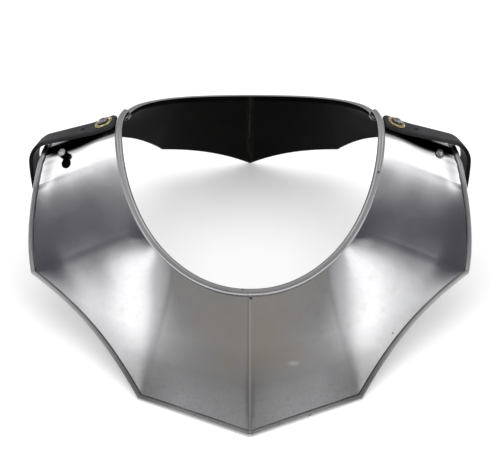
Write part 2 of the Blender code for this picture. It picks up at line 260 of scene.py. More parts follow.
def rounded_off(angle):
    """How far the rounded sheet lies off the straight creases, at the neck and at the outline."""
    spread = rounding_at(angle)
    if spread <= 0:
        return Vector(), Vector()
    here = length_at(angle)
    blurred, turn, total = Vector(), 0.0, 0.0
    for step in range(-BLUR_STEPS, BLUR_STEPS + 1):
        away = step / STEPS_IN_SPREAD
        weight = math.exp(-(away**2) / 2)
        there = angle_at(here + away * spread)
        blurred += weight * outline_point(there)
        turn += weight * there
        total += weight
    return neck_point(turn / total) - neck_point(angle), blurred / total - outline_point(angle)


def eased_share(share):
    return share * share * (3 - 2 * share)


def off_creases(neck_off, edge_off, share):
    """How far the sheet lies off the creases at this share of its width, with none at its edges."""
    leaving = eased_share(min(1.0, share / ROUNDING_STARTS))
    ending = 1 - eased_share(max(0.0, (share - ROUNDING_ENDS) / (1 - ROUNDING_ENDS)))
    return neck_off * (1 - share) * leaving + edge_off * share * ending


def roll(edge, across, normal, radius, facing, steps):
    """A rolled edge's section, from where it leaves the sheet to three quarters of a turn."""
    centre = edge + facing * across * radius + normal * (radius - SHEET / 2)
    leave = math.asin((SHEET - radius) / radius)
    points = []
    for step in range(steps + 1):
        turn = leave + (1.5 * math.pi - leave) * step / steps
        points.append(centre + radius * (facing * math.cos(turn) * across + math.sin(turn) * normal))
    return points


Station = namedtuple("Station", "angle from_neck neck_roll edge_roll")


def plate_ring(station, limits, drop):
    angle = station.angle
    neck_across, neck_normal = edge_frame(neck_point, angle, limits)
    edge_across, edge_normal = edge_frame(outline_point, angle, limits)
    neck = neck_point(angle) - drop * neck_normal
    edge = outline_point(angle) - drop * edge_normal
    if station.from_neck:
        neck += (edge - neck).normalized() * station.from_neck
    neck_arc = roll(neck, neck_across, neck_normal, station.neck_roll, 1, ROLL_STEPS)
    edge_arc = roll(edge, edge_across, edge_normal, station.edge_roll, -1, EDGE_STEPS)[::-1]
    lower, upper = [], []
    neck_off, edge_off = rounded_off(angle) if facing_front(limits) else (Vector(), Vector())
    near = GROOVE / (edge_arc[-1] - neck_arc[0]).length
    shares = [near] + [index / ACROSS for index in range(1, ACROSS)] + [1 - near]
    for share in shares:
        lower.append(neck_arc[-1].lerp(edge_arc[0], share) + off_creases(neck_off, edge_off, share))
        upper.append(edge_arc[-1].lerp(neck_arc[0], share) + off_creases(neck_off, edge_off, 1 - share))
    return neck_arc + lower + edge_arc + upper


def facing_front(limits):
    return limits[0] < 0


def angles_in(span):
    return [span.start + (span.end - span.start) * index / span.count for index in range(span.count)]


def mirrored_half(half):
    return [-angle for angle in half[:0:-1]] + half


def front_stations():
    half = [angle for span in FRONT_SPANS for angle in angles_in(span)] + [SEAM_ANGLE]
    return [Station(angle, 0, NECK_ROLL, EDGE_ROLL) for angle in mirrored_half(half)]


def back_stations():
    plain = SHEET / 2
    tongue = angles_in(TONGUE_SPAN) + [BACK_START_ANGLE]
    half = [Station(angle, TAB_FROM_NECK, plain, plain) for angle in tongue]
    unrolled = [BACK_START_ANGLE + past for past in UNROLLED_PAST_START] + [SEAM_ANGLE + UNROLLED_PAST_SEAM]
    half += [Station(angle, 0, plain, plain) for angle in unrolled]
    rolled = [angle for span in BACK_SPANS for angle in angles_in(span)]
    half += [Station(angle, 0, NECK_ROLL, EDGE_ROLL) for angle in rolled]
    mirrored = [station._replace(angle=360 - station.angle) for station in reversed(half)]
    return half + [Station(180, 0, NECK_ROLL, EDGE_ROLL)] + mirrored


def mesh_object(name, vertices, faces, finishes, slots=None):
    shape = bmesh.new()
    points = [shape.verts.new(point) for point in vertices]
    for number, face in enumerate(faces):
        made = shape.faces.new([points[index] for index in face])
        made.material_index = slots[number] if slots else 0
    bmesh.ops.recalc_face_normals(shape, faces=shape.faces)
    mesh = bpy.data.meshes.new(name)
    shape.to_mesh(mesh)
    shape.free()
    mesh.shade_smooth()
    mesh.set_sharp_from_angle(angle=SHARP)
    made = bpy.data.objects.new(name, mesh)
    bpy.context.scene.collection.objects.link(made)
    for finish in finishes:
        mesh.materials.append(finish)
    return made


def joined(count, size):
    """The faces between this many rings of this size, ring by ring, and then the two end faces."""
    faces = []
    for ring in range(count - 1):
        for index in range(size):
            here = ring * size + index
            beside = ring * size + (index + 1) % size
            faces.append((here, beside, beside + size, here + size))
    faces.append(tuple(range(size)))
    faces.append(tuple(range((count - 1) * size, count * size)))
    return faces


def plate_slot(index, tongue):
    """The finish of a ring's face. A tongue is black all round."""
    inner = range(ROLL_STEPS, ROLL_STEPS + ACROSS + 2)
    edge_groove = ROLL_STEPS + ACROSS + EDGE_STEPS + 2
    if tongue or index in inner or BLACK_FROM <= index < ROLL_STEPS:
        return INSIDE
    if index in (edge_groove - 1, edge_groove):
        return IN_GROOVE
    rolled = index < ROLL_STEPS or ROLL_STEPS + ACROSS + 1 < index < edge_groove
    return ON_ROLL if rolled else OUTSIDE


def plate(name, stations, drop, finishes):
    limits = (stations[0].angle, stations[-1].angle)
    rings = [plate_ring(station, limits, drop) for station in stations]
    size = len(rings[0])
    vertices = [point for ring in rings for point in ring]
    slots = []
    for station, following in zip(stations, stations[1:]):
        tongue = station.from_neck and following.from_neck
        slots += [plate_slot(index, tongue) for index in range(size)]
    slots += [OUTSIDE, OUTSIDE]
    return mesh_object(name, vertices, joined(len(rings), size), finishes, slots)


def sheet_width(angle):
    return (outline_point(angle) - neck_point(angle)).length


def plate_spot(angle, from_neck):
    def point(turn):
        return neck_point(turn).lerp(outline_point(turn), from_neck / sheet_width(turn))

    along = (point(angle + SLOPE_STEP) - point(angle - SLOPE_STEP)).normalized()
    line = (outline_point(angle) - neck_point(angle)).normalized()
    normal = line.cross(along).normalized()
    placed = Matrix((line, normal.cross(line), normal)).transposed()
    return Matrix.Translation(point(angle)) @ placed.to_4x4()


def cut_prism(thing, outline, place, depth):
    """Cuts a hole of this outline through a piece and keeps the result in its mesh."""
    size = len(outline)
    vertices = [place @ Vector((x, y, z)) for z in (-depth, depth) for x, y in outline]
    faces = [tuple(range(size)), tuple(range(size, 2 * size))]
    for index in range(size):
        beside = (index + 1) % size
        faces.append((index, beside, beside + size, index + size))
    cutter = mesh_object("cutter", vertices, faces, [])
    boolean = thing.modifiers.new("hole", "BOOLEAN")
    boolean.operation = "DIFFERENCE"
    boolean.object = cutter
    bpy.context.view_layer.update()
    graph = bpy.context.evaluated_depsgraph_get()
    mesh = bpy.data.meshes.new_from_object(thing.evaluated_get(graph))
    old = thing.data
    thing.modifiers.clear()
    thing.data = mesh
    bpy.data.meshes.remove(old)
    bpy.data.objects.remove(cutter, do_unlink=True)
    thing.data.set_sharp_from_angle(angle=SHARP)


def circle(radius, sides=40):
    turns = [2 * math.pi * side / sides for side in range(sides)]
    return [(radius * math.cos(turn), radius * math.sin(turn)) for turn in turns]


def keyhole():
    slot = STUD_SHANK_RADIUS + CLEARANCE
    meet = math.asin(slot / KEYHOLE_RADIUS)
    outline = []
    for step in range(SLOT_STEPS + 1):
        turn = -math.pi * step / SLOT_STEPS
        outline.append((slot * math.cos(turn), slot * math.sin(turn)))
    for step in range(HOLE_STEPS + 1):
        turn = -math.pi / 2 - meet - (2 * math.pi - 2 * meet) * step / HOLE_STEPS
        outline.append((KEYHOLE_RADIUS * math.cos(turn), KEYHOLE_TRAVEL + KEYHOLE_RADIUS * math.sin(turn)))
    return outline


# Straps

def strap_end_from_neck():
    return 2 * NECK_ROLL + STRAP_END_GAP


def strap_rivet_place(angle):
    return plate_spot(angle, strap_end_from_neck() + RIVET_FROM_STRAP_END)


def strap_start(angle):
    lift = SHEET / 2 + CLEARANCE + STRAP_THICKNESS / 2
    return strap_rivet_place(angle) @ Matrix.Translation((-RIVET_FROM_STRAP_END, 0, lift))


def stretch_length(stretch, angle):
    if stretch.name == "tail":
        return stretch.share * STRAP_TAIL
    return stretch.share * (sheet_width(angle) - strap_end_from_neck())


def strap_path(angle):
    """Places along a strap's middle, each after the length travelled to it."""
    place = strap_start(angle)
    towards_back = math.copysign(1, angle)
    places = [(0.0, place)]
    travelled = 0.0
    for stretch in STRAP_STRETCHES:
        length = stretch_length(stretch, angle)
        steps = 4 * max(3, round(abs(stretch.bend) / 6))
        bend = Matrix.Rotation(math.radians(-stretch.bend / steps / 2), 4, "Y")
        forward = Matrix.Translation((length / steps, 0, 0))
        twist = Matrix.Rotation(math.radians(-towards_back * stretch.twist / steps), 4, "X")
        for _ in range(steps):
            place = place @ bend @ forward @ bend @ twist
            travelled += length / steps
            places.append((travelled, place))
    return places


def strap_section(side, half):
    """Round the band: two crowned faces with a small bevel where they meet the cut edges."""
    points = []
    for sign in (-1, 1):
        for index in range(STRAP_ACROSS + 1):
            share = -1 + 2 * index / STRAP_ACROSS
            y = -sign * share * (side - STRAP_BEVEL)
            sink = STRAP_CROWN * share**6
            points.append((y, sign * (half - sink)))
        points.append((-sign * side, sign * (half - STRAP_BEVEL * 1.1)))
        points.append((-sign * side, -sign * (half - STRAP_BEVEL * 1.1)))
    return points


def strap(name, angle, finish):
    start = strap_start(angle)
    places = strap_path(angle)
    length, end = places[-1]
    from_start, from_end = [], []
    for share in (0.05, 0.5, 1):
        inward = share * STRAP_CORNER
        from_start.append((inward, start @ Matrix.Translation((inward, 0, 0))))
        from_end.insert(0, (length - inward, end @ Matrix.Translation((-inward, 0, 0))))
    clear = STRAP_CORNER * 1.2
    inner = [place for place in places[1:-1] if clear < place[0] < length - clear]
    places = places[:1] + from_start + inner + from_end + places[-1:]
    rings = []
    for number, (travelled, place) in enumerate(places):
        nearest_end = min(travelled, length - travelled)
        side = STRAP_WIDTH / 2 - max(0.0, STRAP_CORNER - nearest_end)
        half = STRAP_THICKNESS / 2
        if number in (0, len(places) - 1):
            side -= STRAP_END_BEVEL
            half -= STRAP_END_BEVEL
        rings.append([place @ Vector((0, y, z)) for y, z in strap_section(side, half)])
    vertices = [point for ring in rings for point in ring]
    made = mesh_object(name, vertices, joined(len(rings), len(rings[0])), [finish])
    cut_prism(made, circle(STRAP_SHANK_RADIUS + CLEARANCE), strap_rivet_place(angle), 3 * STRAP_THICKNESS)
    spare = start @ Matrix.Translation((RIVET_FROM_STRAP_END + SPARE_HOLE_PITCH, 0, 0))
    cut_prism(made, circle(SPARE_HOLE_RADIUS), spare, 2 * STRAP_THICKNESS)
    return made


# Fasteners

def turned(name, profile, place, finishes, closed=False):
    """A piece turned about the place's Z.

    Rows of the profile hold radius, height and the finish of the face that follows.
    """
    vertices, faces, slots = [], [], []
    size = len(profile)
    for side in range(TURNED_SIDES):
        turn = 2 * math.pi * side / TURNED_SIDES
        for radius, height, _ in profile:
            vertices.append(place @ Vector((radius * math.cos(turn), radius * math.sin(turn), height)))
    for side in range(TURNED_SIDES):
        here, there = side * size, (side + 1) % TURNED_SIDES * size
        for index in range(size if closed else size - 1):
            beside = (index + 1) % size
            faces.append((here + index, here + beside, there + beside, there + index))
            slots.append(profile[index][2])
    if not closed:
        for index in (0, size - 1):
            faces.append(tuple(side * size + index for side in range(TURNED_SIDES)))
            slots.append(profile[index][2])
    return mesh_object(name, vertices, faces, finishes, slots)


# How far below the middle of the front plate's sheet the tails under both sheets start
UNDER_LAP = -1.5 * SHEET - LAP_GAP - TAIL_GAP


def tail_profile(shank_radius, tail_top):
    tail_end = tail_top - TAIL_HEIGHT
    profile = [(shank_radius, tail_top, 1), (TAIL_RADIUS, tail_top, 1)]
    return profile + [(TAIL_RADIUS, tail_end, 1), (TAIL_RADIUS * 0.2, tail_end, 1)]


def domed_rivet(name, place, seat, dome_radius, dome_height, shank_radius, tail_top):
    profile = []
    for turn in range(4, 86, 5):
        angle = math.radians(turn)
        profile.append((dome_radius * math.sin(angle), seat + dome_height * math.cos(angle), 0))
    # The head's lower rim takes the groove finish: painted shade where it meets the piece below
    profile += [(dome_radius, seat + dome_height * 0.06, 1), (dome_radius * 0.97, seat, 1)]
    profile.append((shank_radius, seat, 1))
    profile += tail_profile(shank_radius, tail_top)
    return turned(name, profile, place, [rivet_steel, groove_shade])


def strap_fasteners(side, angle):
    """The eyelet with its raised rim and dark middle, and the rivet through it."""
    rivet = strap_rivet_place(angle)
    strap_top = SHEET / 2 + CLEARANCE + STRAP_THICKNESS
    rim = WASHER_THICKNESS
    floor_height = rim * 0.55
    middle = WASHER_RADIUS - rim
    profile = [(STRAP_SHANK_RADIUS + CLEARANCE, 0, 1), (WASHER_RADIUS * 0.98, 0, 0)]
    for turn in range(0, 181, 15):
        bearing = math.radians(turn)
        least = rim * 0.1 if turn <= 90 else floor_height
        height = max(least, rim * math.sin(bearing))
        profile.append((middle + rim * math.cos(bearing), height, 0 if turn < 150 else 1))
    profile.append((STRAP_SHANK_RADIUS + CLEARANCE, floor_height, 1))
    seat = rivet @ Matrix.Translation((0, 0, strap_top + CLEARANCE))
    eyelet = turned("eyelet_" + side, profile, seat, [brass, dark_middle], closed=True)
    head = domed_rivet(
        "eyelet_rivet_" + side,
        rivet,
        strap_top + 2 * CLEARANCE + WASHER_THICKNESS,
        STRAP_RIVET_RADIUS,
        STRAP_RIVET_DOME,
        STRAP_SHANK_RADIUS,
        -SHEET / 2 - TAIL_GAP,
    )
    return eyelet, head


def headed_stud(place):
    seat, top = SHEET / 2 + CLEARANCE, SHEET / 2 + STUD_HEIGHT
    worn = STUD_RADIUS / 8
    profile = [
        (STUD_RADIUS * 0.1, top, 0),
        (STUD_RADIUS * 0.6, top - worn * 0.15, 0),
        (STUD_RADIUS - worn, top - worn * 0.3, 0),
        (STUD_RADIUS - worn * 0.3, top - worn * 0.6, 1),
        (STUD_RADIUS, top - worn, 1),
        (STUD_RADIUS, seat, 1),
        (STUD_SHANK_RADIUS, seat, 1),
    ]
    profile += tail_profile(STUD_SHANK_RADIUS, UNDER_LAP)
    # The stud's sides and tail take the near-black inside finish: painted shade down its sides
    return turned("headed_stud", profile, place, [rivet_steel, black])


# Materials

def node_material(name):
    made = bpy.data.materials.new(name)
    made.use_nodes = True
    tree = made.node_tree
    return made, tree, tree.nodes["Principled BSDF"]


def add(tree, kind, **inputs):
    node = tree.nodes.new(kind)
    for key, value in inputs.items():
        node.inputs[key.replace("_", " ")].default_value = value
    return node


def noise(tree, vector, scale, detail, rough=0.5):
    node = add(tree, "ShaderNodeTexNoise", Scale=scale, Detail=detail, Roughness=rough)
    tree.links.new(vector, node.inputs["Vector"])
    return node.outputs["Fac"]


def ramp(tree, value, low, high, to_low, to_high):
    node = add(tree, "ShaderNodeMapRange", From_Min=low, From_Max=high, To_Min=to_low, To_Max=to_high)
    tree.links.new(value, node.inputs["Value"])
    return node.outputs["Result"]


def mix_colour(tree, share, first, second):
    """From first to second by share. Each is a colour or another node's output."""
    node = tree.nodes.new("ShaderNodeMix")
    node.data_type = "RGBA"
    colours = [socket for socket in node.inputs if socket.type == "RGBA"]
    for socket, given in zip(colours, (first, second)):
        if isinstance(given, tuple):
            socket.default_value = (*given, 1)
        else:
            tree.links.new(given, socket)
    tree.links.new(share, node.inputs["Factor"])
    return [socket for socket in node.outputs if socket.type == "RGBA"][0]


def multiplied(tree, first, second):
    node = tree.nodes.new("ShaderNodeVectorMath")
    node.operation = "MULTIPLY"
    tree.links.new(first, node.inputs[0])
    tree.links.new(second, node.inputs[1])
    return node.outputs["Vector"]


def math_node(tree, operation, first, second=0.0):
    node = tree.nodes.new("ShaderNodeMath")
    node.operation = operation
    for socket, given in zip(node.inputs, (first, second)):
        if isinstance(given, (int, float)):
            socket.default_value = given
        else:
            tree.links.new(given, socket)
    return node.outputs[0]


def stretched(tree, scale=(1, 1, 1), turn=(0, 0, 0)):
    """Object coordinates, turned by degrees and scaled along each axis."""
    place = tree.nodes.new("ShaderNodeTexCoord")
    mapping = tree.nodes.new("ShaderNodeMapping")
    mapping.inputs["Scale"].default_value = scale
    mapping.inputs["Rotation"].default_value = [math.radians(angle) for angle in turn]
    tree.links.new(place.outputs["Object"], mapping.inputs["Vector"])
    return mapping.outputs["Vector"]


def axis_values(tree):
    place = tree.nodes.new("ShaderNodeTexCoord")
    split = tree.nodes.new("ShaderNodeSeparateXYZ")
    tree.links.new(place.outputs["Object"], split.inputs["Vector"])
    return split.outputs["X"], split.outputs["Y"], split.outputs["Z"]


def bumped(tree, shader, height, strength, distance):
    bump = add(tree, "ShaderNodeBump", Strength=strength, Distance=distance)
    tree.links.new(height, bump.inputs["Height"])
    tree.links.new(bump.outputs["Normal"], shader.inputs["Normal"])


# An ellipsoid round a point of the model, in metres, which fades from the inner to the outer share of its
# radii. A mirrored one is on both sides.
Zone = namedtuple("Zone", "centre radii inner outer mirrored")
STAIN = Zone((0.0, -0.086, 0.036), (0.052, 0.030, 0.05), 0.4, 1.1, False)
CORNER_SHADE = Zone((0.080, -0.107, 0.006), (0.030, 0.032, 0.028), 0.3, 1.1, True)
# The straps' painted shadow and reflection: near black on the steel under each strap
STRAP_SHADOW_ZONE = Zone((0.128, 0.046, 0.108), (0.031, 0.0155, 0.03), 0.7, 1.0, True)
FLARE = Zone((0.085, 0.016, 0.105), (0.045, 0.034, 0.07), 0, 1, True)


def vector_node(tree, operation, first, second=(0, 0, 0)):
    node = tree.nodes.new("ShaderNodeVectorMath")
    node.operation = operation
    tree.links.new(first, node.inputs[0])
    node.inputs[1].default_value = second
    return node


def within(tree, zone):
    """1 inside a zone and 0 outside it."""
    x, y, z = axis_values(tree)
    place = tree.nodes.new("ShaderNodeCombineXYZ")
    tree.links.new(math_node(tree, "ABSOLUTE", x) if zone.mirrored else x, place.inputs["X"])
    tree.links.new(y, place.inputs["Y"])
    tree.links.new(z, place.inputs["Z"])
    moved = vector_node(tree, "SUBTRACT", place.outputs["Vector"], zone.centre)
    scaled = vector_node(tree, "DIVIDE", moved.outputs["Vector"], zone.radii)
    length = vector_node(tree, "LENGTH", scaled.outputs["Vector"])
    return ramp(tree, length.outputs["Value"], zone.inner, zone.outer, 1, 0)


# Nicks and a scrape that the photo shows, with how grey each one is
Mark = namedtuple("Mark", "name x y z radius length strength tone")
MARKS = (
    Mark("keel nick", 0.0005, -0.0603, 0.0497, 0.0011, 0.0011, 0.9, 0.02),
    Mark("right rim nick", 0.0908, 0.0072, 0.108, 0.0010, 0.0010, 0.9, 0.02),
    Mark("left rim nick", -0.0886, 0.0104, 0.109, 0.0009, 0.0009, 0.9, 0.02),
    Mark("front rim nick", -0.0051, -0.0570, 0.0553, 0.0012, 0.0012, 0.8, 0.03),
    Mark("right panel nick", 0.1011, -0.0684, 0.0228, 0.0008, 0.0008, 0.7, 0.04),
    Mark("lower edge nick", 0.0413, -0.127, 0.0019, 0.0010, 0.0010, 0.8, 0.03),
    Mark("pale scrape", 0.0304, -0.0976, 0.0231, 0.0019, 0.0048, 0.5, 0.85),
)


# The painted highlight along the breast's keel and the painted shade in a line beside it
KEEL_FROM, KEEL_TO = -0.055, -0.062
KEEL_HIGHLIGHT_WIDTH = (0.0002, 0.0009)
KEEL_SHADE_OFFSET = 0.0014

# The heights between which the dirt ends, and between which the painted shade on the steel's lower part fades
# out
DIRT_ENDS = (0.003, 0.02)
LOW_SHADE_FADES = (0.018, 0.032)

# How high the steel's slow waves, its grain and the flare under each shoulder are, in metres
WAVE_HEIGHT = 0.0016
GRAIN_HEIGHT = 0.000004
FLARE_HEIGHT = 0.0024
WHITE = (1.0, 1.0, 1.0)


def steel_colour(tree, broad, stain):
    """Faint polish marks, a warm stain in the middle, dirt and painted shade by the floor, painted shade at
    the lower corners, the straps' painted shadow and reflection under them, nicks, and a painted highlight on
    the keel with painted shade beside it.
    """
    plain = stretched(tree)
    x, y, z = axis_values(tree)
    mottle = noise(tree, plain, 160, 4, 0.6)
    patches = noise(tree, plain, 75, 4, 0.6)
    specks = noise(tree, plain, 520, 3, 0.7)
    scratch = noise(tree, stretched(tree, (14, 900, 600), (0, 10, 34)), 1.0, 2, 0.5)
    colour = mix_colour(tree, ramp(tree, broad, 0.35, 0.65, 0, 1), (0.58, 0.58, 0.59), (0.66, 0.66, 0.665))
    for pattern, low, high, most, tone in (
        (mottle, 0.52, 0.75, 0.2, (0.46, 0.445, 0.43)),
        (patches, 0.5, 0.72, 0.14, (0.45, 0.44, 0.43)),
        (scratch, 0.68, 0.80, 0.2, (0.80, 0.80, 0.80)),
    ):
        colour = mix_colour(tree, ramp(tree, pattern, low, high, 0, most), colour, tone)
    patchy = math_node(tree, "MULTIPLY", stain, ramp(tree, noise(tree, plain, 40, 4), 0.35, 0.6, 0.25, 0.85))
    colour = mix_colour(tree, patchy, colour, (0.645, 0.592, 0.525))
    low_down = ramp(tree, z, *DIRT_ENDS, 1, 0)
    dirt = math_node(tree, "MULTIPLY", low_down, ramp(tree, specks, 0.54, 0.76, 0, 0.45))
    colour = mix_colour(tree, dirt, colour, (0.14, 0.12, 0.10))
    # Painted shade: the steel darkens below these heights
    low_shade = mix_colour(tree, ramp(tree, z, *LOW_SHADE_FADES, 0, 1), (0.66, 0.66, 0.66), WHITE)
    # Painted shade near the lower corners
    at_corner = mix_colour(tree, within(tree, CORNER_SHADE), WHITE, (0.58, 0.58, 0.58))
    colour = multiplied(tree, multiplied(tree, colour, low_shade), at_corner)
    # Painted shadow and reflection of the straps on the steel under them
    colour = mix_colour(tree, within(tree, STRAP_SHADOW_ZONE), colour, (0.012, 0.012, 0.012))
    # Painted highlight on the keel and painted shade beside it, at the front only
    in_front = ramp(tree, y, KEEL_FROM, KEEL_TO, 0, 1)
    beside = math_node(tree, "ADD", x, KEEL_SHADE_OFFSET)
    for aside, most, tone in ((x, 0.45, (0.88, 0.87, 0.85)), (beside, 0.35, (0.30, 0.28, 0.26))):
        line = ramp(tree, math_node(tree, "ABSOLUTE", aside), *KEEL_HIGHLIGHT_WIDTH, most, 0)
        colour = mix_colour(tree, math_node(tree, "MULTIPLY", in_front, line), colour, tone)
    for mark in MARKS:
        spot = Zone((mark.x, mark.y, mark.z), (mark.length, mark.radius, mark.radius), 0.5, 1.2, False)
        share = math_node(tree, "MULTIPLY", within(tree, spot), mark.strength)
        colour = mix_colour(tree, share, colour, (mark.tone, mark.tone * 0.97, mark.tone * 0.94))
    return colour


def steel_material(name, dulling):
    """Satin steel with slow waves. dulling adds to its roughness."""
    made, tree, shader = node_material(name)
    shader.inputs["Metallic"].default_value = 1.0
    plain = stretched(tree)
    broad = noise(tree, plain, 18, 3)
    grain = noise(tree, stretched(tree, (40, 500, 300), (0, 0, 12)), 3.0, 3, 0.65)
    stain = within(tree, STAIN)
    tree.links.new(steel_colour(tree, broad, stain), shader.inputs["Base Color"])
    rough = ramp(tree, broad, 0.3, 0.7, 0.135, 0.175)
    for more in (ramp(tree, grain, 0.3, 0.7, -0.01, 0.02), math_node(tree, "MULTIPLY", stain, 0.05), dulling):
        rough = math_node(tree, "ADD", rough, more)
    tree.links.new(rough, shader.inputs["Roughness"])
    wave = math_node(tree, "MULTIPLY", noise(tree, plain, 16, 1), WAVE_HEIGHT)
    height = math_node(tree, "ADD", wave, math_node(tree, "MULTIPLY", grain, GRAIN_HEIGHT))
    flare = within(tree, FLARE)
    flare = math_node(tree, "MULTIPLY", math_node(tree, "MULTIPLY", flare, flare), FLARE_HEIGHT)
    bumped(tree, shader, math_node(tree, "ADD", height, flare), 0.5, 1.0)
    return made


def patchy_material(name, metallic, scale, between, dark, light, rough):
    """Patches of two colours. between holds the values of the noise where each one is full."""
    made, tree, shader = node_material(name)
    shader.inputs["Metallic"].default_value = metallic
    patches = noise(tree, stretched(tree), scale, 3, 0.6)
    colour = mix_colour(tree, ramp(tree, patches, *between, 0, 1), dark, light)
    tree.links.new(colour, shader.inputs["Base Color"])
    shader.inputs["Roughness"].default_value = rough
    return made


def spotted_metal(name, scale, between, clean, worn, rough, bump):
    """Metal with worn spots, duller and higher than the rest. bump holds its strength and distance."""
    made, tree, shader = node_material(name)
    shader.inputs["Metallic"].default_value = 1.0
    spots = noise(tree, stretched(tree), scale, 4, 0.6)
    colour = mix_colour(tree, ramp(tree, spots, *between, 0, 1), clean, worn)
    tree.links.new(colour, shader.inputs["Base Color"])
    tree.links.new(ramp(tree, spots, 0.3, 0.7, *rough), shader.inputs["Roughness"])
    bumped(tree, shader, spots, *bump)
    return made


def black_material():
    """The painted inner face: near black with a faint sheen and thin rubbed streaks."""
    made, tree, shader = node_material("black_inside")
    shader.inputs["Specular IOR Level"].default_value = 0.012
    broad = noise(tree, stretched(tree), 30, 4)
    streak = noise(tree, stretched(tree, (260, 30, 20)), 2.0, 4, 0.7)
    tone = ramp(tree, broad, 0.4, 0.7, 0, 1)
    colour = mix_colour(tree, tone, (0.002, 0.002, 0.002), (0.005, 0.005, 0.0045))
    off_keel = math_node(tree, "ABSOLUTE", axis_values(tree)[0])
    at_keel = ramp(tree, off_keel, 0.0005, 0.0035, 1, 0)
    keel = math_node(tree, "MULTIPLY", at_keel, ramp(tree, streak, 0.42, 0.62, 0, 0.8))
    worn = mix_colour(tree, ramp(tree, streak, 0.66, 0.8, 0, 0.6), colour, (0.02, 0.019, 0.017))
    worn = mix_colour(tree, keel, worn, (0.035, 0.031, 0.022))
    tree.links.new(worn, shader.inputs["Base Color"])
    tree.links.new(ramp(tree, broad, 0.3, 0.7, 0.38, 0.5), shader.inputs["Roughness"])
    return made


# Painted shade on the straps' tails: they darken between these distances to the side, where their tails start
TAIL_SHADE = (0.149, 0.156)


def leather_material():
    """Black leather with pebbled grain and scuffs, and painted shade on its tails."""
    made, tree, shader = node_material("black_leather")
    shader.inputs["Specular IOR Level"].default_value = 0.045
    plain = stretched(tree)
    pebble = add(tree, "ShaderNodeTexVoronoi", Scale=1500.0)
    tree.links.new(plain, pebble.inputs["Vector"])
    fibre = noise(tree, plain, 420, 5, 0.65)
    broad = noise(tree, plain, 60, 3)
    tone = ramp(tree, broad, 0.35, 0.7, 0, 1)
    colour = mix_colour(tree, tone, (0.034, 0.034, 0.036), (0.052, 0.052, 0.055))
    scuff = mix_colour(tree, ramp(tree, fibre, 0.6, 0.8, 0, 0.5), colour, (0.10, 0.098, 0.10))
    aside = math_node(tree, "ABSOLUTE", axis_values(tree)[0])
    shaded = mix_colour(tree, ramp(tree, aside, *TAIL_SHADE, 0, 0.8), scuff, (0.004, 0.004, 0.004))
    tree.links.new(shaded, shader.inputs["Base Color"])
    tree.links.new(ramp(tree, fibre, 0.3, 0.7, 0.42, 0.58), shader.inputs["Roughness"])
    height = math_node(tree, "ADD", pebble.outputs["Distance"], math_node(tree, "MULTIPLY", fibre, 0.6))
    bumped(tree, shader, height, 0.35, 0.00018)
    return made


# The pieces

def place_on_model(thing, shift):
    thing.data.transform(Matrix.Translation(shift))


def low_corner(thing):
    return Vector([min(vertex.co[axis] for vertex in thing.data.vertices) for axis in range(3)])


steel = steel_material("satin_steel", 0.0)
rolled_steel = steel_material("rolled_steel", 0.2)
rivet_steel = spotted_metal(
    "rivet_steel", 1100, (0.44, 0.6), (0.62, 0.61, 0.60), (0.16, 0.155, 0.15), (0.2, 0.42), (0.6, 0.0002)
)
brass = spotted_metal(
    "worn_brass", 420, (0.42, 0.7), (0.86, 0.74, 0.40), (0.42, 0.33, 0.16), (0.22, 0.45), (0.5, 0.00015)
)
leather = leather_material()
black = black_material()

# Painted shade in the grooves where the rolls meet the sheet and on the rivet heads' lower rims, and the
# near-black middle of an eyelet
groove_shade = patchy_material("groove_steel", 1.0, 60, (0.4, 0.62), (0.10, 0.095, 0.09), (0.34, 0.335, 0.33), 0.45)
dark_middle = patchy_material(
    "dark_middle_brass", 0.0, 500, (0.45, 0.7), (0.012, 0.011, 0.008), (0.07, 0.055, 0.025), 0.5
)
plate_finishes = [steel, black, groove_shade, rolled_steel]

measure_outline()
stud_place = plate_spot(-STUD_ANGLE, sheet_width(STUD_ANGLE) - STUD_FROM_EDGE)
pivot_place = plate_spot(PIVOT_ANGLE, sheet_width(PIVOT_ANGLE) - PIVOT_FROM_EDGE)
front = plate("breast_half", front_stations(), 0, plate_finishes)
cut_prism(front, keyhole(), stud_place, 3 * SHEET)
cut_prism(front, circle(PIVOT_SHANK_RADIUS + CLEARANCE), pivot_place, 4 * SHEET)
back = plate("back_half", back_stations(), SHEET + LAP_GAP, plate_finishes)
cut_prism(back, circle(STUD_SHANK_RADIUS + CLEARANCE), stud_place, 4 * SHEET)
cut_prism(back, circle(PIVOT_SHANK_RADIUS + CLEARANCE), pivot_place, 4 * SHEET)
cad_low = Vector(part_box("front_plate")[0])
fine_low = low_corner(front)
shift = Vector((0, cad_low.y - fine_low.y, cad_low.z - fine_low.z))
left_strap = strap("leather_strap_left", -STRAP_ANGLE, leather)
right_strap = strap("leather_strap_right", STRAP_ANGLE, leather)
for angle in (-STRAP_ANGLE, STRAP_ANGLE):
    cut_prism(front, circle(STRAP_SHANK_RADIUS + CLEARANCE), strap_rivet_place(angle), 2 * SHEET)
left_eyelet, left_rivet = strap_fasteners("left", -STRAP_ANGLE)
right_eyelet, right_rivet = strap_fasteners("right", STRAP_ANGLE)
stud = headed_stud(stud_place)
pivot = domed_rivet(
    "hinge_rivet", pivot_place, SHEET / 2 + CLEARANCE, PIVOT_RADIUS, PIVOT_DOME, PIVOT_SHANK_RADIUS, UNDER_LAP
)
Piece = namedtuple("Piece", "thing node slot")
